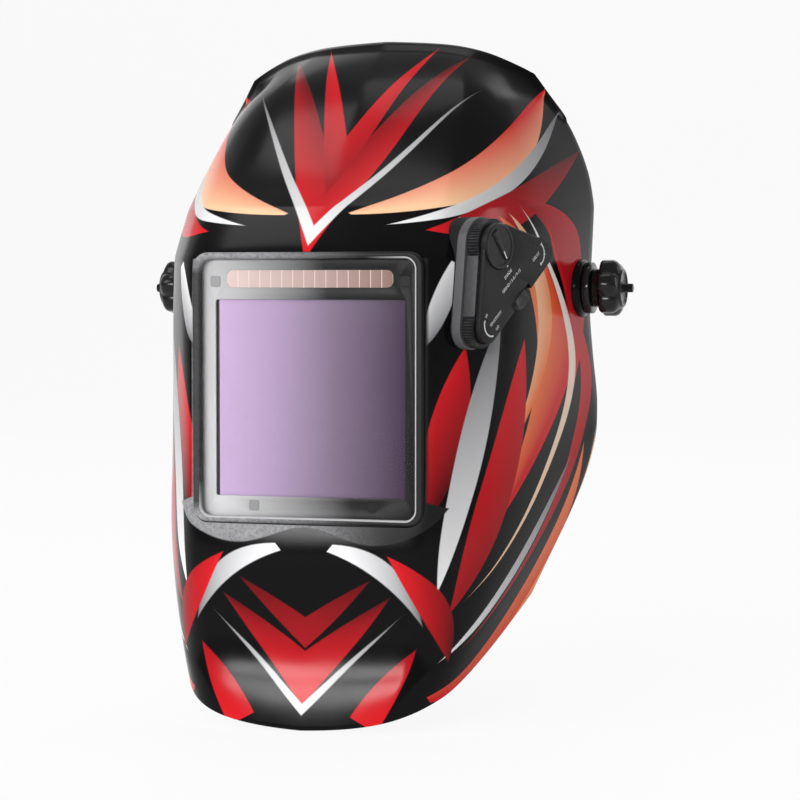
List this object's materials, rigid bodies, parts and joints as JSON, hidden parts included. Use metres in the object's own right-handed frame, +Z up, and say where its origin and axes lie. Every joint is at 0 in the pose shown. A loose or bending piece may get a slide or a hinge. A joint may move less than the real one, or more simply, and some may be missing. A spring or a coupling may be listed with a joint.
{
  "type": "welding helmet",
  "caption": "Auto-darkening welding helmet: tall shell with a wide filter window, side control unit and a padded, adjustable headgear on side pivots.",
  "frame": {"origin": "middle of the axis through the two side pivots, on the wearer's centre plane", "axes": "the window faces -Y, +Z is up, +X is the wearer's left; the side pivots lie on the X axis"},
  "size_m": [0.2624, 0.2765, 0.3394],
  "materials": {
    "shell_gloss": "gloss",
    "satin_black": "satin",
    "matte_black": "matte",
    "rubber_black": "matte",
    "clear_lens": "clear",
    "filter_violet": "gloss",
    "shutter_dark": "gloss",
    "filter_grey": "satin",
    "solar_copper": "gloss",
    "sensor_dark": "gloss",
    "board_green": "satin",
    "cell_steel": "brushed",
    "zinc_steel": "satin",
    "spring_steel": "polished",
    "nylon_white": "satin",
    "knob_gloss": "gloss",
    "control_satin": "satin",
    "wheel_satin": "satin",
    "strap_nylon": "satin",
    "sweat_fabric": "woven",
    "button_red": "gloss"
  },
  "bodies": {
    "headgear": {"headband": "strap_nylon", "sweatband": "sweat_fabric", "side_arm_left": "strap_nylon", "side_arm_right": "strap_nylon", "crown_strap_left": "strap_nylon", "crown_strap_right": "strap_nylon", "crown_strap_long": "strap_nylon", "crown_peg": "matte_black", "rear_straps": "strap_nylon", "ratchet_housing": "matte_black", "ratchet_cover": "matte_black", "rear_pad": "sweat_fabric"},
    "reach": {"carriage_left": "strap_nylon", "carriage_right": "strap_nylon", "pivot_bolt_left": "zinc_steel", "pivot_bolt_right": "zinc_steel", "friction_washer_left": "rubber_black", "friction_washer_right": "rubber_black", "tilt_stop_left": "strap_nylon", "tilt_stop_right": "strap_nylon", "knob_washer_left": "knob_gloss", "knob_washer_right": "knob_gloss"},
    "shell": {"shell": "shell_gloss", "window_bezel": "satin_black", "lens_gasket": "rubber_black", "cover_lens": "clear_lens", "filter_holder": "matte_black", "filter_front_case": "filter_grey", "filter_back_case": "matte_black", "filter_glass": "filter_violet", "shutter_stack": "shutter_dark", "solar_panel": "solar_copper", "light_sensors": "sensor_dark", "filter_board": "board_green", "coin_cells": "cell_steel", "inner_cover_lens": "clear_lens", "control_base": "control_satin", "control_housing": "control_satin", "control_cover": "control_satin", "control_board": "board_green", "control_pots": "zinc_steel", "control_back_plate": "matte_black", "control_screws": "zinc_steel", "pivot_bush_left": "nylon_white", "pivot_bush_right": "nylon_white", "stop_pins": "zinc_steel"},
    "shade_knob": {"shade_knob": "wheel_satin"},
    "sensitivity_knob": {"sensitivity_knob": "wheel_satin"},
    "delay_knob": {"delay_knob": "wheel_satin"},
    "mode_slider": {"mode_slider": "wheel_satin"},
    "battery_cap_left": {"battery_cap_left": "matte_black"},
    "battery_cap_right": {"battery_cap_right": "matte_black"},
    "filter_bail": {"filter_bail": "spring_steel"},
    "test_button": {"test_button": "button_red"},
    "tension_knob_left": {"tension_knob_left": "knob_gloss"},
    "tension_knob_right": {"tension_knob_right": "knob_gloss"},
    "ratchet_knob": {"ratchet_knob": "matte_black"},
    "rack_left": {"rack_left": "strap_nylon"},
    "rack_right": {"rack_right": "strap_nylon"}
  },
  "joints": [
    {"name": "headgear_reach", "type": "slide", "parent": "headgear", "child": "reach", "axis": [0, 1, 0], "range_m": [-0.01, 0.01]},
    {"name": "shell_tilt", "type": "hinge", "parent": "reach", "child": "shell", "pos_m": [0, 0, 0], "axis": [-1, 0, 0], "range_deg": [0, 80]},
    {"name": "tension_turn_left", "type": "hinge", "parent": "reach", "child": "tension_knob_left", "pos_m": [0.11, 0, 0], "axis": [1, 0, 0], "continuous": true},
    {"name": "tension_turn_right", "type": "hinge", "parent": "reach", "child": "tension_knob_right", "pos_m": [-0.11, 0, 0], "axis": [-1, 0, 0], "continuous": true},
    {"name": "ratchet_turn", "type": "hinge", "parent": "headgear", "child": "ratchet_knob", "pos_m": [0, 0.12, -0.028], "axis": [0, 1, 0], "range_deg": [-76, 76]},
    {"name": "rack_slide_left", "type": "slide", "parent": "headgear", "child": "rack_left", "axis": [1, 0, 0], "range_m": [-0.008, 0.008]},
    {"name": "rack_slide_right", "type": "slide", "parent": "headgear", "child": "rack_right", "axis": [-1, 0, 0], "range_m": [-0.008, 0.008]},
    {"name": "shade_turn", "type": "hinge", "parent": "shell", "child": "shade_knob", "pos_m": [0.08311, -0.10656, 0.02], "axis": [0.9332, -0.3593, 0], "range_deg": [-135, 135]},
    {"name": "sensitivity_turn", "type": "hinge", "parent": "shell", "child": "sensitivity_knob", "pos_m": [0.08006, -0.11449, -0.0195], "axis": [0.9332, -0.3593, 0], "range_deg": [-135, 135]},
    {"name": "delay_turn", "type": "hinge", "parent": "shell", "child": "delay_knob", "pos_m": [0.09713, -0.07016, 0.017], "axis": [0.9332, -0.3593, 0], "range_deg": [-135, 135]},
    {"name": "mode_slide", "type": "slide", "parent": "shell", "child": "mode_slider", "axis": [0.2851, 0.7404, 0.6088], "range_m": [-0.004, 0.004]},
    {"name": "battery_cap_turn_left", "type": "hinge", "parent": "shell", "child": "battery_cap_left", "pos_m": [0.041, -0.119, 0.0063], "axis": [0, 1, 0], "range_deg": [0, 40]},
    {"name": "battery_cap_turn_right", "type": "hinge", "parent": "shell", "child": "battery_cap_right", "pos_m": [-0.041, -0.119, 0.0063], "axis": [0, 1, 0], "range_deg": [0, 40]},
    {"name": "bail_swing", "type": "hinge", "parent": "shell", "child": "filter_bail", "pos_m": [0, -0.1156, 0.011], "axis": [1, 0, 0], "range_deg": [0, 70]},
    {"name": "test_press", "type": "slide", "parent": "shell", "child": "test_button", "axis": [0, -1, 0], "range_m": [0, 0.001], "stiffness_N_per_m": 400}
  ],
  "couplings": [
    {"joint": "rack_slide_left", "follows": "ratchet_turn", "m_per_rad": 0.006},
    {"joint": "rack_slide_right", "follows": "ratchet_turn", "m_per_rad": 0.006}
  ]
}
